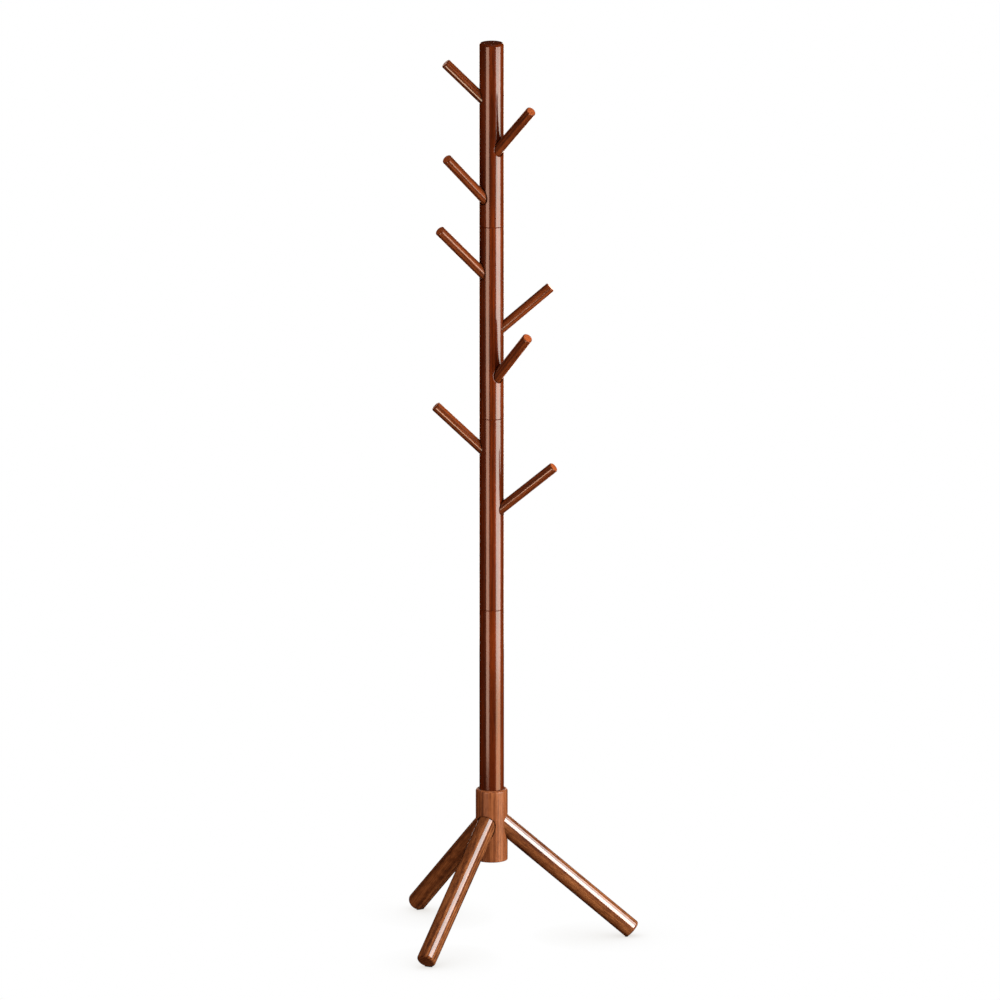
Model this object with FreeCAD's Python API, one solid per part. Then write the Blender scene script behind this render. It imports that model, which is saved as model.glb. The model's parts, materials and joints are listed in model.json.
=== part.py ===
import FreeCAD, Part
import math
import os

# Standing coat rack: a round post in four screwed sections, eight angled dowel hooks,
# and a hub that carries three splayed legs on rubber pads.
# Millimetres, +Z up, floor at z = 0, origin at the middle of the footprint.
# The first leg points along +X.

# Post
overall_height = 1750.0
post_radius = 23.5
section_count = 4
top_section_length = 355.0
section_length = 374.0        # each of the other sections
top_edge_round = 4.5
seam_chamfer = 0.9            # eased edge on both sides of a joint

# Hub under the post
hub_radius = 30.6
hub_bottom_z = 154.0
hub_height = 140.0
hub_top_round = 4.5
hub_bottom_round = 1.5
socket_gap = 0.15             # between the post and the wall of its socket
socket_mouth_chamfer = 1.5

# Legs: their axes meet on the post's axis at leg_cross_z and run down and out
leg_count = 3
leg_radius = 18.5
leg_tilt = 40.7               # degrees below level
leg_cross_z = 244.0
leg_seat = 21.5               # along the leg's axis, from the crossing to the leg's inner end
leg_recess_gap = 1.0
foot_round = 5.0
foot_corner_depth = 4.5       # the leg's lowest corner is cut off level, this far up
recess_lip_round = 0.8        # eased mouth of every angled recess

# Rubber pads under the feet
pad_thickness = 2.0
pad_half_length = 8.0
pad_half_width = 3.0

# Hooks: height where the hook's axis meets the post's axis, heading round the post from +X,
# tilt above level, and length from the post's axis to the tip
hook_radius = 10.0
hook_seat = 18.0
hook_recess_gap = 2.0
hook_tip_round = 3.0
hooks = [
    (1624.0, 184.0, 45.0, 125.0),
    (1527.0, -47.0, 45.0, 150.0),
    (1432.0, 214.0, 45.0, 150.0),
    (1285.0, 205.0, 45.0, 158.0),
    (1179.0, -5.0, 41.0, 149.0),
    (1086.0, -51.0, 46.0, 150.0),
    (942.0, 184.0, 44.0, 150.0),
    (828.0, -22.0, 40.0, 165.0),
]

# Screwed joints: a plain stud stands fixed in one piece and screws into an insert in the other.
# Stud radius, length held in the wood, length past the seat, insert outer radius, insert length
joint_hardware = (5.0, 22.0, 20.0, 7.0, 18.0)
leg_hardware = (4.0, 30.0, 13.0, 5.5, 12.0)
hook_hardware = (3.0, 18.0, 13.0, 4.2, 12.0)
thread_gap = 0.1              # round a stud in its insert
hole_gap = 0.05               # round a stud or an insert in the wood
stud_end_room = 1.0           # free depth past the end of a stud

match_tolerance = 0.01        # when an edge or face is picked out by its place
cutter_size = 2000.0          # wider than the whole rack
up = FreeCAD.Vector(0, 0, 1)


def post_axis_x():
    # Places the post so that the feet are centred over the origin.
    tilt = math.radians(leg_tilt)
    side = math.radians(180.0 / leg_count)
    reach = leg_end() * math.cos(tilt)
    edge = leg_radius * math.sin(tilt)
    far_side = reach + edge
    near_side = reach * math.cos(side) + math.hypot(edge * math.cos(side), leg_radius * math.sin(side))
    return (near_side - far_side) / 2


def leg_end():
    # Distance along a leg's axis from the crossing to the middle of its end face.
    tilt = math.radians(leg_tilt)
    end_centre_z = leg_radius * math.cos(tilt) + pad_thickness - foot_corner_depth
    return (leg_cross_z - end_centre_z) / math.sin(tilt)


def direction(heading, tilt):
    a, t = math.radians(heading), math.radians(tilt)
    return FreeCAD.Vector(math.cos(a) * math.cos(t), math.sin(a) * math.cos(t), math.sin(t))


def on_post(z):
    return FreeCAD.Vector(post_axis_x(), 0, z)


def rod(radius, start, along, low, high):
    # A cylinder on the line from start, between two distances along it.
    return Part.makeCylinder(radius, high - low, start + along * low, along)


def rim(shape, start, along, distance, radius):
    # The circular edges of this radius at this distance along the line.
    centre = start + along * distance
    found = []
    for edge in shape.Edges:
        curve = edge.Curve
        if isinstance(curve, Part.Circle) and abs(curve.Radius - radius) < match_tolerance:
            if curve.Center.distanceToPoint(centre) < match_tolerance:
                found.append(edge)
    return found


def ease_lips(body):
    # Rounds over the mouths of the angled recesses, the only free-form edges so far.
    mouths = [e for e in body.Edges if isinstance(e.Curve, Part.BSplineCurve)]
    return body.makeFillet(recess_lip_round, mouths) if mouths else body


def stud(hardware, seat, into_wood):
    radius, held, past = hardware[:3]
    return rod(radius, seat, into_wood, -past, held)


def stud_hole(hardware, seat, into_wood):
    radius, held = hardware[:2]
    return rod(radius + hole_gap, seat, into_wood, 0, held)


def insert(hardware, seat, into_wood):
    radius, insert_radius, insert_length = hardware[0], hardware[3], hardware[4]
    sleeve = rod(insert_radius, seat, into_wood, -insert_length, 0)
    return sleeve.cut(rod(radius + thread_gap, seat, into_wood, -insert_length, 0))


def insert_hole(hardware, seat, into_wood):
    radius, past, insert_radius, insert_length = hardware[0], hardware[2], hardware[3], hardware[4]
    wide = rod(insert_radius + hole_gap, seat, into_wood, -insert_length, 0)
    return wide.fuse(rod(radius + thread_gap, seat, into_wood, -past - stud_end_room, 0))


def save(shape, name):
    shape.exportStep(os.path.join("parts", name + ".step"))


def joint_heights():
    first = overall_height - top_section_length
    return [first - i * section_length for i in range(section_count)]


def hook_lines():
    return [(on_post(z), direction(heading, tilt), length) for z, heading, tilt, length in hooks]


def leg_heading(i):
    return i * 360.0 / leg_count


def leg_lines():
    return [(on_post(leg_cross_z), direction(leg_heading(i), -leg_tilt)) for i in range(leg_count)]


def post_section(low, high):
    base, length = on_post(low), high - low
    body = rod(post_radius, base, up, 0, length)
    if high == overall_height:
        body = body.makeFillet(top_edge_round, rim(body, base, up, length, post_radius))
    else:
        body = body.makeChamfer(seam_chamfer, rim(body, base, up, length, post_radius))
        body = body.cut(insert_hole(joint_hardware, on_post(high), up))
    body = body.makeChamfer(seam_chamfer, rim(body, base, up, 0, post_radius))
    body = body.cut(stud_hole(joint_hardware, base, up))
    held = [line for line in hook_lines() if low < line[0].z < high]
    for start, along, length in held:
        body = body.cut(rod(hook_radius + hook_recess_gap, start, along, hook_seat, length))
    body = ease_lips(body)
    for start, along, length in held:
        body = body.cut(insert_hole(hook_hardware, start + along * hook_seat, along))
    return body


def hub():
    base = on_post(hub_bottom_z)
    body = rod(hub_radius, base, up, 0, hub_height)
    body = body.makeFillet(hub_top_round, rim(body, base, up, hub_height, hub_radius))
    body = body.makeFillet(hub_bottom_round, rim(body, base, up, 0, hub_radius))
    for start, along in leg_lines():
        body = body.cut(rod(leg_radius + leg_recess_gap, start, along, leg_seat, leg_end()))
    body = ease_lips(body)
    for start, along in leg_lines():
        body = body.cut(insert_hole(leg_hardware, start + along * leg_seat, along))
    socket_radius = post_radius + socket_gap
    socket_floor = on_post(joint_heights()[-1])
    body = body.cut(rod(socket_radius, socket_floor, up, 0, hub_height))
    body = body.makeChamfer(socket_mouth_chamfer, rim(body, base, up, hub_height, socket_radius))
    return body.cut(insert_hole(joint_hardware, socket_floor, up))


def leg(start, along):
    body = rod(leg_radius, start, along, leg_seat, leg_end())
    body = body.makeFillet(foot_round, rim(body, start, along, leg_end(), leg_radius))
    body = body.cut(stud_hole(leg_hardware, start + along * leg_seat, along))
    corner = FreeCAD.Vector(-cutter_size / 2, -cutter_size / 2, pad_thickness - cutter_size)
    below_foot = Part.makeBox(cutter_size, cutter_size, cutter_size, corner)
    return body.cut(below_foot)


def foot_pad(foot, heading):
    # A strip with round ends, stuck across the level cut under the foot.
    flat = [f for f in foot.Faces if abs(f.BoundBox.ZMax - pad_thickness) < match_tolerance][0]
    middle = FreeCAD.Vector(flat.CenterOfMass.x, flat.CenterOfMass.y, 0)
    straight = pad_half_length - pad_half_width
    corner = FreeCAD.Vector(-pad_half_width, -straight, 0)
    pad = Part.makeBox(2 * pad_half_width, 2 * straight, pad_thickness, corner)
    for side in (-1, 1):
        end = Part.makeCylinder(pad_half_width, pad_thickness, FreeCAD.Vector(0, side * straight, 0))
        pad = pad.fuse(end)
    pad = pad.removeSplitter()
    pad.rotate(FreeCAD.Vector(0, 0, 0), up, heading)
    pad.translate(middle)
    return pad


def hook(start, along, length):
    body = rod(hook_radius, start, along, hook_seat, length)
    body = body.makeFillet(hook_tip_round, rim(body, start, along, length, hook_radius))
    return body.cut(stud_hole(hook_hardware, start + along * hook_seat, along))


def save_fastening(name, hardware, seat, into_wood):
    save(stud(hardware, seat, into_wood), name.format("stud"))
    save(insert(hardware, seat, into_wood), name.format("insert"))


os.makedirs("parts", exist_ok=True)

section_names = ["post_top", "post_upper", "post_lower", "post_bottom"]
tops = [overall_height] + joint_heights()[:-1]
for i, name in enumerate(section_names):
    save(post_section(joint_heights()[i], tops[i]), name)
    save_fastening("joint_{}_%d" % (i + 1), joint_hardware, on_post(joint_heights()[i]), up)

save(hub(), "hub")
for i, (start, along) in enumerate(leg_lines()):
    foot = leg(start, along)
    save(foot, "leg_%d" % (i + 1))
    save(foot_pad(foot, leg_heading(i)), "foot_pad_%d" % (i + 1))
    save_fastening("leg_{}_%d" % (i + 1), leg_hardware, start + along * leg_seat, along)

for i, (start, along, length) in enumerate(hook_lines()):
    save(hook(start, along, length), "hook_%d" % (i + 1))
    save_fastening("hook_{}_%d" % (i + 1), hook_hardware, start + along * hook_seat, along)
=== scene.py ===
import json
import math

import bpy
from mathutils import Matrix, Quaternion, Vector


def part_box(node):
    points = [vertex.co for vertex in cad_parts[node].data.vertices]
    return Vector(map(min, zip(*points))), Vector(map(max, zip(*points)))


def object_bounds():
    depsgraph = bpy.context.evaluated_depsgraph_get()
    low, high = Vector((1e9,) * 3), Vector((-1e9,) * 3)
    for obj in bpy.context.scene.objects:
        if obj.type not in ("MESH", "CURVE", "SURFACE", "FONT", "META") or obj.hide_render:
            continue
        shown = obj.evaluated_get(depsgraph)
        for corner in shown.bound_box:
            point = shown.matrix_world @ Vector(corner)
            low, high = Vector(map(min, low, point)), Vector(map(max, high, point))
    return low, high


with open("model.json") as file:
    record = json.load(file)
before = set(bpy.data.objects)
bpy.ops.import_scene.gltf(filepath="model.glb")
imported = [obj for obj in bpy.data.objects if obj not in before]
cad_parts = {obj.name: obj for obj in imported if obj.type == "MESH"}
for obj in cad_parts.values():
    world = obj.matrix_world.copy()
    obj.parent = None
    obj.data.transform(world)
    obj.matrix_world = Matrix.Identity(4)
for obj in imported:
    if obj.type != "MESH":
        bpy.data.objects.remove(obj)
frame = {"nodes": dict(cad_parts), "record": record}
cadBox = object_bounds()
nodes = frame["nodes"]
mounts = {mount["name"]: mount for mount in frame["record"]["mounts"]}
postLow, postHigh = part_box("post_top")
postAxis = Vector(((postLow.x + postHigh.x) / 2, (postLow.y + postHigh.y) / 2, 0))
up = Vector((0, 0, 1))
mmPerMetre = 1000
print("frame loaded:", len(nodes), "pieces")


def linear(hexColour):  # an sRGB hex value as the linear colour that shaders and lights take
    shares = [int(hexColour[i:i + 2], 16) / 255 for i in (1, 3, 5)]
    return [s / 12.92 if s <= 0.04045 else ((s + 0.055) / 1.055) ** 2.4 for s in shares]


def opaque(hexColour):  # the same with an alpha of 1, as node sockets take it
    return linear(hexColour) + [1]


def addNode(tree, kind, inputs=None, **settings):  # an input is a plain value, or the output linked to it
    node = tree.nodes.new(kind)
    for name, value in settings.items():
        setattr(node, name, value)
    for socket, value in (inputs or {}).items():
        if isinstance(value, bpy.types.NodeSocket):
            tree.links.new(value, node.inputs[socket])
        else:
            node.inputs[socket].default_value = value
    return node


def mixColours(tree, share, first, second):  # inputs 6 and 7 and output 2 are this node's colour sockets
    return addNode(tree, "ShaderNodeMix", {0: share, 6: first, 7: second}, data_type="RGBA").outputs[2]


def mapRange(tree, value, source, target):
    return addNode(tree, "ShaderNodeMapRange", {
        "Value": value, "From Min": source[0], "From Max": source[1],
        "To Min": target[0], "To Max": target[1]}).outputs[0]


def newMaterial(name):
    material = bpy.data.materials.new(name)
    material.use_nodes = True
    material.node_tree.nodes.clear()
    return material, material.node_tree


def coverNode(nodeName, material):
    node = nodes[nodeName]
    node.data.materials.clear()
    node.data.materials.append(material)


camera = {
    "azimuth": -2.26,  # degrees round from square on, to the left
    "elevation": 13.03,  # degrees above the horizon
    "distance": 40.0,  # far off, so that upright lines stay upright
    "lens": 755.3,  # mm, on the sensor below
    "sensor": 36.0,
    "aimHeight": 0.8594,  # on the post's axis
    "aimRight": 0.0159,  # how far the middle of the view is from that axis
    "sees": (1, 300),  # nearest and furthest
}


def towards(azimuth, elevation):  # azimuth 0 is the front, and it grows to the right
    a, e = math.radians(azimuth), math.radians(elevation)
    return Vector((math.sin(a) * math.cos(e), -math.cos(a) * math.cos(e), math.sin(e)))


def makeCamera():
    back = towards(camera["azimuth"], camera["elevation"])
    right = towards(camera["azimuth"] + 90, 0)
    aim = postAxis + Vector((0, 0, camera["aimHeight"])) + right * camera["aimRight"]
    data = bpy.data.cameras.new("camera")
    data.lens = camera["lens"]
    data.sensor_width = camera["sensor"]
    data.clip_start, data.clip_end = camera["sees"]
    seen = bpy.data.objects.new("camera", data)
    seen.location = aim + back * camera["distance"]
    seen.rotation_euler = back.to_track_quat("Z", "Y").to_euler()
    bpy.context.scene.collection.objects.link(seen)
    bpy.context.scene.camera = seen


makeCamera()
print("camera set")

# A fill only lights the surfaces, and a card only shows in their gloss. Each is aimed at a height on the
# post. Azimuth is counted from the camera's, distance and sides are in metres, and a card of brightness 1
# looks like a white page. A card with "on" falls on those pieces alone, as a flag keeps it off the others.
fills = {
    "mainFill": {"azimuth": 57, "elevation": 4, "aim": 1.0, "distance": 1.8, "sides": (1.44, 2.3),
                 "brightness": 12, "colour": "#FFF8F0"},
    "leftFill": {"azimuth": -62, "elevation": 6, "aim": 0.8, "distance": 2.2, "sides": (1.4, 2.4),
                 "brightness": 2, "colour": "#FFEBD8"},
    "topFill": {"azimuth": 20, "elevation": 78, "aim": 1.2, "distance": 2.4, "sides": (1.4, 1.4),
                "brightness": 1.8, "colour": "#FFFAF4"},
    "backFill": {"azimuth": 178, "elevation": 5, "aim": 1.0, "distance": 2.4, "sides": (1.2, 2.4),
                 "brightness": 6, "colour": "#FFEFE2"},
}
cards = {
    "postRight": {"azimuth": 65, "elevation": 0, "aim": 0.76, "distance": 1.7, "sides": (1.5, 1.32),
                  "brightness": 9.5, "colour": "#FFF6EA", "on": ("post", "hub")},
    "postRightLow": {"azimuth": 65, "elevation": 0, "aim": -0.2, "distance": 1.7, "sides": (1.5, 0.6),
                     "brightness": 6, "colour": "#FFD2A6", "on": ("post", "hub")},
    "postLeft": {"azimuth": -38, "elevation": 0, "aim": 0.66, "distance": 1.9, "sides": (0.95, 1.56),
                 "brightness": 7, "colour": "#FFD3B8", "on": ("post", "hub")},
    "hookRight": {"azimuth": 53, "elevation": 0, "aim": 0.9, "distance": 1.7, "sides": (0.5, 0.7),
                  "brightness": 11, "colour": "#FFDDC0", "on": ("hook",)},
    "hookFront": {"azimuth": -14, "elevation": 0, "aim": 0.36, "distance": 1.7, "sides": (1.1, 0.6),
                  "brightness": 18, "colour": "#FFD9B8", "on": ("hook",)},
    "rightLegSide": {"azimuth": 51, "elevation": 24, "aim": 0.15, "distance": 4.0, "sides": (2.1, 1.8),
                     "brightness": 14, "colour": "#FFFDFA", "on": ("leg_1",)},
    "rightLegAbove": {"azimuth": 82, "elevation": 38, "aim": 0.15, "distance": 4.0, "sides": (2.4, 0.9),
                      "brightness": 5.2, "colour": "#FFFFFF", "on": ("leg_1",)},
    "frontLegAbove": {"azimuth": 64, "elevation": 43, "aim": 0.15, "distance": 4.0, "sides": (1.64, 2.7),
                      "brightness": 7, "colour": "#FFFFFF", "on": ("leg_3",)},
    "top": {"azimuth": 20, "elevation": 78, "aim": 1.2, "distance": 2.4, "sides": (1.4, 1.4),
            "brightness": 5, "colour": "#FFFAF4", "on": ("post", "hub", "hook")},
    "backRight": {"azimuth": 166, "elevation": 0, "aim": 1.2, "distance": 2.2, "sides": (0.4, 2.3),
                  "brightness": 4, "colour": "#FFF4E8"},
    "backLeft": {"azimuth": -166, "elevation": 0, "aim": 1.2, "distance": 2.2, "sides": (0.4, 2.3),
                 "brightness": 2.5, "colour": "#FFE6D6"},
}
room = {
    "paper": "#FFFFFF",  # what the camera sees behind everything
    "walls": "#BC9678",  # the weak warm light that comes back off the walls
    "wallsInGloss": "#0C0806",
    "floorSide": 80.0,
    "contact": 0.12,  # how far the painted soft shadow under the feet reaches
    # the colour of the painted shadow under the feet
    "paintedContactShadow": "#D8D4CE",
    "contactSamples": 8,
}


def makeSoftbox(name, box, isCard):
    direction = towards(box["azimuth"] + camera["azimuth"], box["elevation"])
    width, height = box["sides"]
    data = bpy.data.lights.new(name, "AREA")
    data.shape = "RECTANGLE"
    data.size = width
    data.size_y = height
    data.energy = box["brightness"] * math.pi * width * height
    data.color = linear(box["colour"])
    light = bpy.data.objects.new(name, data)
    light.location = postAxis + Vector((0, 0, box["aim"])) + direction * box["distance"]
    light.rotation_euler = direction.to_track_quat("Z", "Y").to_euler()
    light.visible_camera = False
    light.visible_diffuse = not isCard
    light.visible_glossy = isCard
    if "on" in box:
        lit = bpy.data.collections.new(name + "Falls")
        for nodeName, node in nodes.items():
            if nodeName.startswith(box["on"]):
                lit.objects.link(node)
        light.light_linking.receiver_collection = lit
    bpy.context.scene.collection.objects.link(light)


def makeRoom():
    world = bpy.data.worlds.new("room")
    world.use_nodes = True
    tree = world.node_tree
    tree.nodes.clear()
    path = addNode(tree, "ShaderNodeLightPath")
    indirect = mixColours(tree, path.outputs["Is Glossy Ray"], opaque(room["walls"]),
                          opaque(room["wallsInGloss"]))
    colour = mixColours(tree, path.outputs["Is Camera Ray"], indirect, opaque(room["paper"]))
    background = addNode(tree, "ShaderNodeBackground", {"Color": colour})
    addNode(tree, "ShaderNodeOutputWorld", {"Surface": background.outputs[0]})
    bpy.context.scene.world = world


def makeFloor():
    half = room["floorSide"] / 2
    mesh = bpy.data.meshes.new("floor")
    corners = [(-half, -half, 0), (half, -half, 0), (half, half, 0), (-half, half, 0)]
    mesh.from_pydata(corners, [], [(0, 1, 2, 3)])
    floor = bpy.data.objects.new("floor", mesh)
    floor.location = (postAxis.x, postAxis.y, cadBox[0].z)
    floor.visible_glossy = False  # the rack stands in a dark room, so its lacquer stays deep
    floor.visible_diffuse = False
    floor.visible_shadow = False
    bpy.context.scene.collection.objects.link(floor)
    material, tree = newMaterial("floorPaperPaintedShadow")  # white paper lit evenly, darkened under the feet by a painted soft shadow
    contact = addNode(tree, "ShaderNodeAmbientOcclusion", {"Distance": room["contact"]},
                      samples=room["contactSamples"])
    # painted contact shadow: the ambient occlusion mask darkens the floor's glow near the feet
    shade = mixColours(tree, contact.outputs["AO"], opaque(room["paintedContactShadow"]), opaque(room["paper"]))
    glow = addNode(tree, "ShaderNodeEmission", {"Color": shade})
    addNode(tree, "ShaderNodeOutputMaterial", {"Surface": glow.outputs[0]})
    mesh.materials.append(material)


makeRoom()
makeFloor()
for boxName, box in fills.items():
    makeSoftbox(boxName, box, False)
for boxName, box in cards.items():
    makeSoftbox(boxName, box, True)
bpy.context.scene.view_settings.view_transform = "Standard"
print("room, floor,", len(fills), "fills and", len(cards), "cards set")

# Beech under walnut stain and clear lacquer. Sizes are in mm, across the grain and along it, and detail is
# how many times a pattern repeats in itself at half the size.
grain = {
    "ringSpacing": 6.0,
    "ringWaver": 0.6,
    "ringDetail": 2,
    "pithAway": 62.0,  # the piece is cut this far from the middle of the tree
    "sawnApart": 10,  # mm between two pieces' places in the tree, for each degree between their turns
    "wander": {"size": (70.0, 500.0), "detail": 2},  # how soon the rings bend
    "wanderBy": 9.0,
    "fibre": {"size": (1.7, 60.0), "detail": 3},  # really 0.1 wide, drawn coarser so that it shows
    "figure": {"size": (6.0, 16.0), "detail": 3},  # the clouded look where the grain dips
    "stain": {"size": (60.0, 140.0), "detail": 1},  # where the wood drank more stain
    "pore": {"size": (0.9, 9.0), "detail": 1},  # really 0.1 wide, drawn coarser so that it shows
    "poreEdge": (0.6, 0.7),  # the noise values where a pore begins and is full
    "poreDepth": 0.5,  # strength of the bump
    "fineness": 0.55,  # how much each repeat in a pattern counts
    "lean": 1.2,  # degrees between the grain and the piece's axis
    "endGrain": (0.75, 0.95),  # where the surface turns to face along the piece
    "endShare": 0.6,
    "darkAt": 0.2,  # tones at which the three colours stand
    "middleAt": 0.5,
    "lightAt": 0.8,
}
noiseMiddle = 0.5
waveRepeat = math.pi / 10  # a wave texture of scale 1 repeats after this length
lacquer = {"underIOR": 1.5, "underSheen": 0.05}  # the stained wood hardly shines below its coat
postWood = {
    "material": "beechTurnedWalnutStainGlossLacquer",  # deep red brown with sharp upright highlights
    "dark": "#330F03", "middle": "#4A1A04", "light": "#5E2406", "end": "#602A12",
    "rings": 0.12, "fibres": 0.3, "figure": 0.12, "stain": 0.25, "pores": 0.2,
    "roughness": 0.38, "gloss": 0.13, "coatIOR": 1.5, "coat": 1.0, "relief": 0.03,
}
hookWood = {
    "material": "beechDowelWalnutStainGlossLacquer",  # red brown, a streak of light and paler ends
    "dark": "#351508", "middle": "#52250E", "light": "#6A3315", "end": "#98512C",
    "rings": 0.15, "fibres": 0.35, "figure": 0.2, "stain": 0.2, "pores": 0.25,
    "roughness": 0.4, "gloss": 0.15, "coatIOR": 1.45, "coat": 1.0, "relief": 0.03,
}
legWood = {
    "material": "beechTurnedWalnutStainHighGlossLacquer",  # clouded brown with hard white reflections
    "dark": "#3F2215", "middle": "#613920", "light": "#825433", "end": "#56301B",
    "rings": 0.15, "fibres": 0.35, "figure": 0.4, "stain": 0.25, "pores": 0.3,
    "roughness": 0.42, "gloss": 0.04, "coatIOR": 1.7, "coat": 1.0, "relief": 0.03,
}
hubWood = {
    "material": "beechTurnedWalnutStainSatinLacquer",  # lighter and softer, the grain shows most here
    "dark": "#4B2816", "middle": "#683B22", "light": "#804E2F", "end": "#7C4A2E",
    "rings": 0.15, "fibres": 0.45, "figure": 0.25, "stain": 0.2, "pores": 0.3,
    "roughness": 0.45, "gloss": 0.25, "coatIOR": 1.5, "coat": 0.35, "relief": 0.05,
}


def noise(tree, coordinates, pattern):  # coordinates are in mm, with z along the grain
    across, along = pattern["size"]
    scaled = addNode(tree, "ShaderNodeVectorMath", {0: coordinates, 1: (1 / across, 1 / across, 1 / along)},
                     operation="MULTIPLY")
    return addNode(tree, "ShaderNodeTexNoise", {
        "Vector": scaled.outputs[0], "Scale": 1, "Detail": pattern["detail"],
        "Roughness": grain["fineness"]})


def grainCoordinates(tree, start, along, turn):  # from metres in the rack to mm in the piece's bent grain
    spin = Quaternion((0, 0, 1), math.radians(turn))
    lean = Quaternion((1, 0, 0), math.radians(grain["lean"]))
    rotation = (along.to_track_quat("Z", "Y") @ spin @ lean).to_euler()
    place = addNode(tree, "ShaderNodeTexCoord")
    local = addNode(tree, "ShaderNodeMapping", {
        "Vector": place.outputs["Object"], "Location": start, "Rotation": rotation,
        "Scale": (1 / mmPerMetre,) * 3}, vector_type="TEXTURE").outputs[0]
    moved = addNode(tree, "ShaderNodeVectorMath", {
        0: local, 1: (grain["pithAway"], 0, turn * grain["sawnApart"])}, operation="ADD").outputs[0]
    wander = noise(tree, moved, grain["wander"]).outputs["Color"]
    centred = addNode(tree, "ShaderNodeVectorMath", {0: wander, 1: (noiseMiddle,) * 3},
                      operation="SUBTRACT").outputs[0]
    return addNode(tree, "ShaderNodeVectorMath", {
        0: centred, 1: (grain["wanderBy"],) * 3, 2: moved}, operation="MULTIPLY_ADD").outputs[0]


def stainedTone(tree, look, place):
    rings = addNode(tree, "ShaderNodeTexWave", {
        "Vector": place, "Scale": waveRepeat / grain["ringSpacing"], "Distortion": grain["ringWaver"],
        "Detail": grain["ringDetail"]}, wave_type="RINGS", rings_direction="Z")
    patterns = {
        "rings": rings,
        "fibres": noise(tree, place, grain["fibre"]),
        "figure": noise(tree, place, grain["figure"]),
        "stain": noise(tree, place, grain["stain"]),
    }
    tone = noiseMiddle
    for name, pattern in patterns.items():
        swing = addNode(tree, "ShaderNodeMath", {0: pattern.outputs["Fac"], 1: noiseMiddle},
                        operation="SUBTRACT").outputs[0]
        tone = addNode(tree, "ShaderNodeMath", {0: swing, 1: look[name] * 2, 2: tone},
                       operation="MULTIPLY_ADD").outputs[0]
    ramp = addNode(tree, "ShaderNodeValToRGB", {0: tone})
    stops = ramp.color_ramp.elements
    stops[0].position = grain["darkAt"]
    stops[0].color = opaque(look["dark"])
    stops[1].position = grain["lightAt"]
    stops[1].color = opaque(look["light"])
    stops.new(grain["middleAt"]).color = opaque(look["middle"])
    return ramp.outputs[0]


def endGrainShare(tree, along):  # 1 on a piece's end faces, which drink more stain than its sides
    surface = addNode(tree, "ShaderNodeNewGeometry")
    facing = addNode(tree, "ShaderNodeVectorMath", {0: surface.outputs["Normal"], 1: along},
                     operation="DOT_PRODUCT").outputs["Value"]
    either = addNode(tree, "ShaderNodeMath", {0: facing}, operation="ABSOLUTE").outputs[0]
    return mapRange(tree, either, grain["endGrain"], (0, grain["endShare"]))


def lacqueredWood(look, nodeName, start, along, turn):
    material, tree = newMaterial(look["material"] + "_" + nodeName)
    place = grainCoordinates(tree, start, along, turn)
    pores = noise(tree, place, grain["pore"]).outputs["Fac"]
    poreMask = mapRange(tree, pores, grain["poreEdge"], (0, look["pores"]))
    pored = mixColours(tree, poreMask, stainedTone(tree, look, place), opaque(look["dark"]))
    colour = mixColours(tree, endGrainShare(tree, along), pored, opaque(look["end"]))
    relief = addNode(tree, "ShaderNodeBump", {
        "Height": poreMask, "Strength": grain["poreDepth"], "Distance": -look["relief"] / mmPerMetre})
    shader = addNode(tree, "ShaderNodeBsdfPrincipled", {
        "Base Color": colour, "Roughness": look["roughness"], "IOR": lacquer["underIOR"],
        "Specular IOR Level": lacquer["underSheen"], "Coat Weight": look["coat"],
        "Coat Roughness": look["gloss"], "Coat IOR": look["coatIOR"], "Normal": relief.outputs[0]})
    addNode(tree, "ShaderNodeOutputMaterial", {"Surface": shader.outputs[0]})
    coverNode(nodeName, material)


post = ("post_top", "post_upper", "post_lower", "post_bottom")
hooks = {"count": 8}
legs = {"count": 3, "tilt": 40.7, "crossing": 0.244}  # degrees below level, and where their axes meet
# Degrees that each piece is turned about its own axis, so that no two show the same side of the grain.
turns = {"step": 137.5, "post": 20, "hub": 250, "leg": 60}

for i, name in enumerate(post):
    lacqueredWood(postWood, name, postAxis, up, turns["step"] * i + turns["post"])
lacqueredWood(hubWood, "hub", postAxis, up, turns["hub"])
for i in range(1, hooks["count"] + 1):
    mount = mounts[f"hook_{i}"]
    lacqueredWood(hookWood, f"hook_{i}", Vector(mount["pos_m"]), Vector(mount["axis"]), turns["step"] * i)
for i in range(1, legs["count"] + 1):
    foot = Vector(mounts[f"foot_{i}"]["pos_m"]) - postAxis
    level = Vector((foot.x, foot.y, 0)).normalized()
    tilt = math.radians(legs["tilt"])
    along = level * math.cos(tilt) - up * math.sin(tilt)
    start = postAxis + up * legs["crossing"]
    lacqueredWood(legWood, f"leg_{i}", start, along, turns["step"] * i + turns["leg"])
print("wood stained and lacquered")

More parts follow.
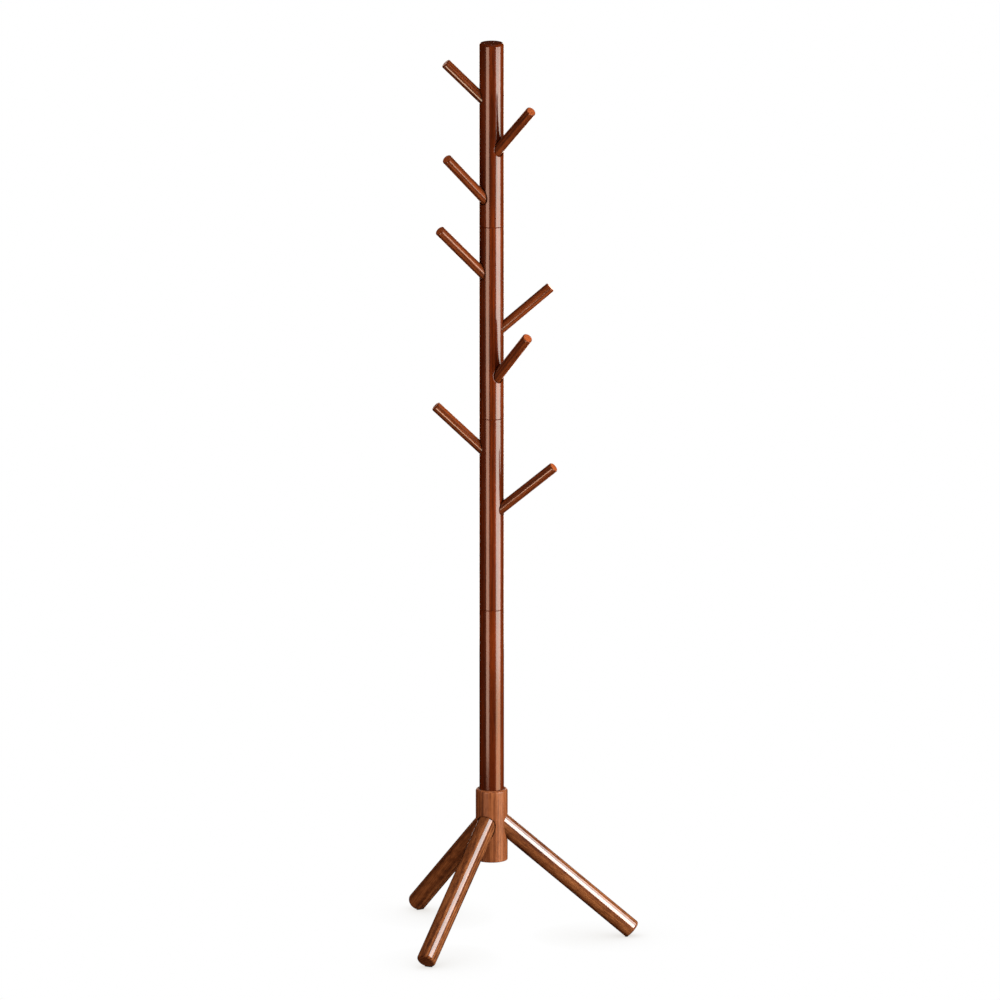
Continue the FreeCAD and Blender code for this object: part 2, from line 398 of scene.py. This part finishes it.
# Marks are in mm, and wear is the share of the roughness that a mark has at its smoothest and roughest.
metal = {"detail": 3, "fineness": 0.6, "wear": (0.7, 1.4)}
stud = {"material": "steelRolledThreadZincPlated", "colour": "#C9CCD0", "roughness": 0.28, "marks": 1.25}
insert = {"material": "brassTurnedKnurled", "colour": "#C9A35A", "roughness": 0.32, "marks": 1.5}
pad = {"material": "rubberMoulded", "colour": "#1B1A19", "roughness": 0.7, "marks": 1.2,
       "detail": 2, "bump": 0.4, "depth": 0.2}


def turnedMetal(look):
    material, tree = newMaterial(look["material"])
    place = addNode(tree, "ShaderNodeTexCoord")
    marks = addNode(tree, "ShaderNodeTexNoise", {
        "Vector": place.outputs["Object"], "Scale": mmPerMetre / look["marks"], "Detail": metal["detail"],
        "Roughness": metal["fineness"]})
    worn = [look["roughness"] * share for share in metal["wear"]]
    shader = addNode(tree, "ShaderNodeBsdfPrincipled", {
        "Base Color": opaque(look["colour"]), "Metallic": 1,
        "Roughness": mapRange(tree, marks.outputs["Fac"], (0, 1), worn)})
    addNode(tree, "ShaderNodeOutputMaterial", {"Surface": shader.outputs[0]})
    return material


def mouldedRubber(look):
    material, tree = newMaterial(look["material"])
    place = addNode(tree, "ShaderNodeTexCoord")
    grip = addNode(tree, "ShaderNodeTexNoise", {
        "Vector": place.outputs["Object"], "Scale": mmPerMetre / look["marks"], "Detail": look["detail"]})
    bump = addNode(tree, "ShaderNodeBump", {
        "Height": grip.outputs["Fac"], "Strength": look["bump"], "Distance": look["depth"] / mmPerMetre})
    shader = addNode(tree, "ShaderNodeBsdfPrincipled", {
        "Base Color": opaque(look["colour"]), "Roughness": look["roughness"], "Normal": bump.outputs[0]})
    addNode(tree, "ShaderNodeOutputMaterial", {"Surface": shader.outputs[0]})
    return material


steel = turnedMetal(stud)  # a cool grey shine
brass = turnedMetal(insert)  # a warm yellow shine
rubber = mouldedRubber(pad)  # dead black that gives no highlight
for name in nodes:
    if "_stud_" in name:
        coverNode(name, steel)
    elif "_insert_" in name:
        coverNode(name, brass)
    elif name.startswith("foot_pad"):
        coverNode(name, rubber)
print("metal and rubber set")
